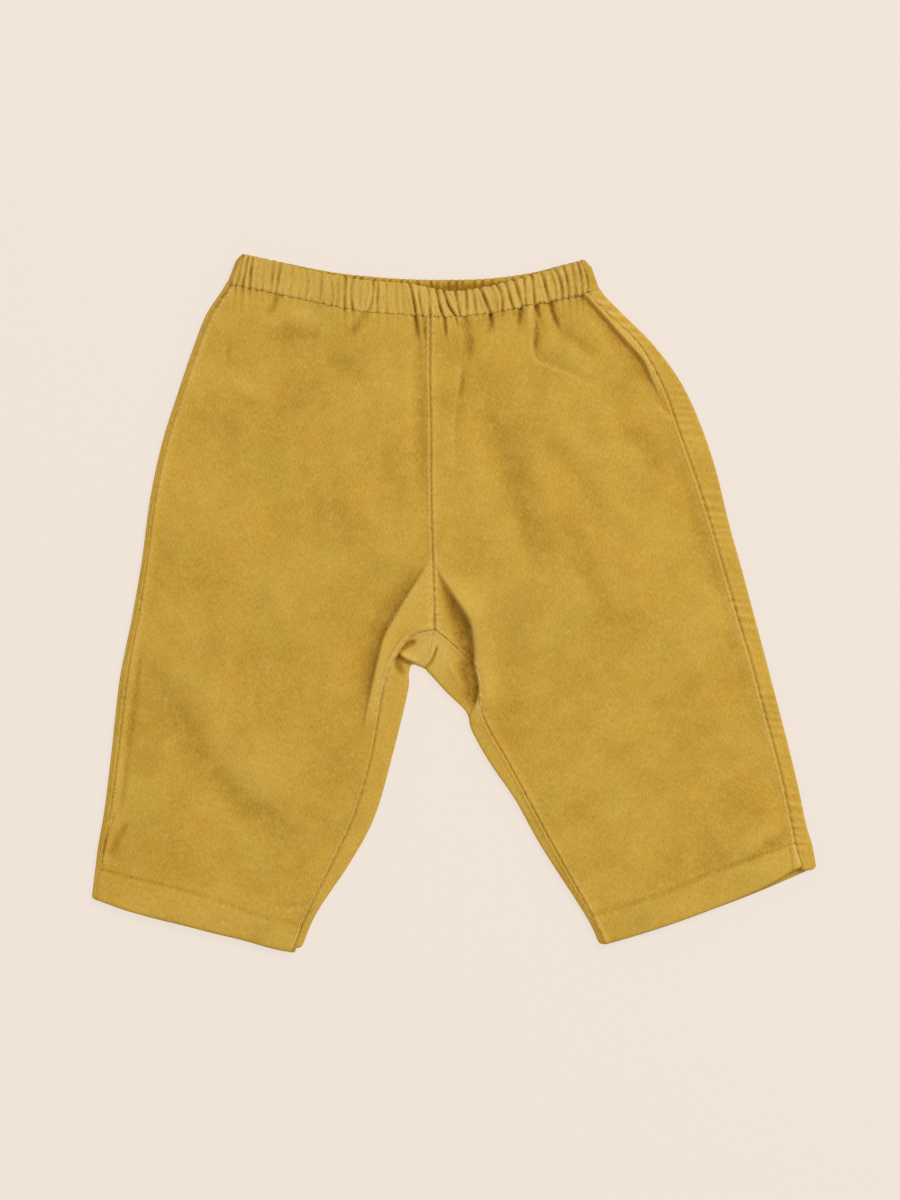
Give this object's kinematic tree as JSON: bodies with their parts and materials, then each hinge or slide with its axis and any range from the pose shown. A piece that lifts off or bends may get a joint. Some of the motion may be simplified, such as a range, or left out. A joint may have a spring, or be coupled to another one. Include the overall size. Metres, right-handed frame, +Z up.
{
  "type": "baby corduroy pull-on trousers, laid flat",
  "caption": "Baby's mustard needlecord pull-on trousers with a gathered elastic waist casing and plain turned hems, laid flat on their back.",
  "frame": {"origin": "on the surface that the trousers lie on, under the middle of their outline", "axes": "+X across the trousers towards the wearer's left, +Y from the hems up to the waist, +Z up out of the surface, through the front of the trousers"},
  "size_m": [0.391, 0.3774, 0.0074],
  "materials": {
    "needlecord": "matte mustard needlecord with a fine raised wale and a soft nap",
    "sewing_thread": "matt mustard polyester sewing thread, a shade lighter than the cloth's grooves"
  },
  "bodies": {
    "root": {"right_leg_front": "needlecord", "left_leg_front": "needlecord", "right_leg_back": "needlecord", "left_leg_back": "needlecord", "waist_casing_front": "needlecord", "waist_casing_back": "needlecord"}
  },
  "joints": []
}
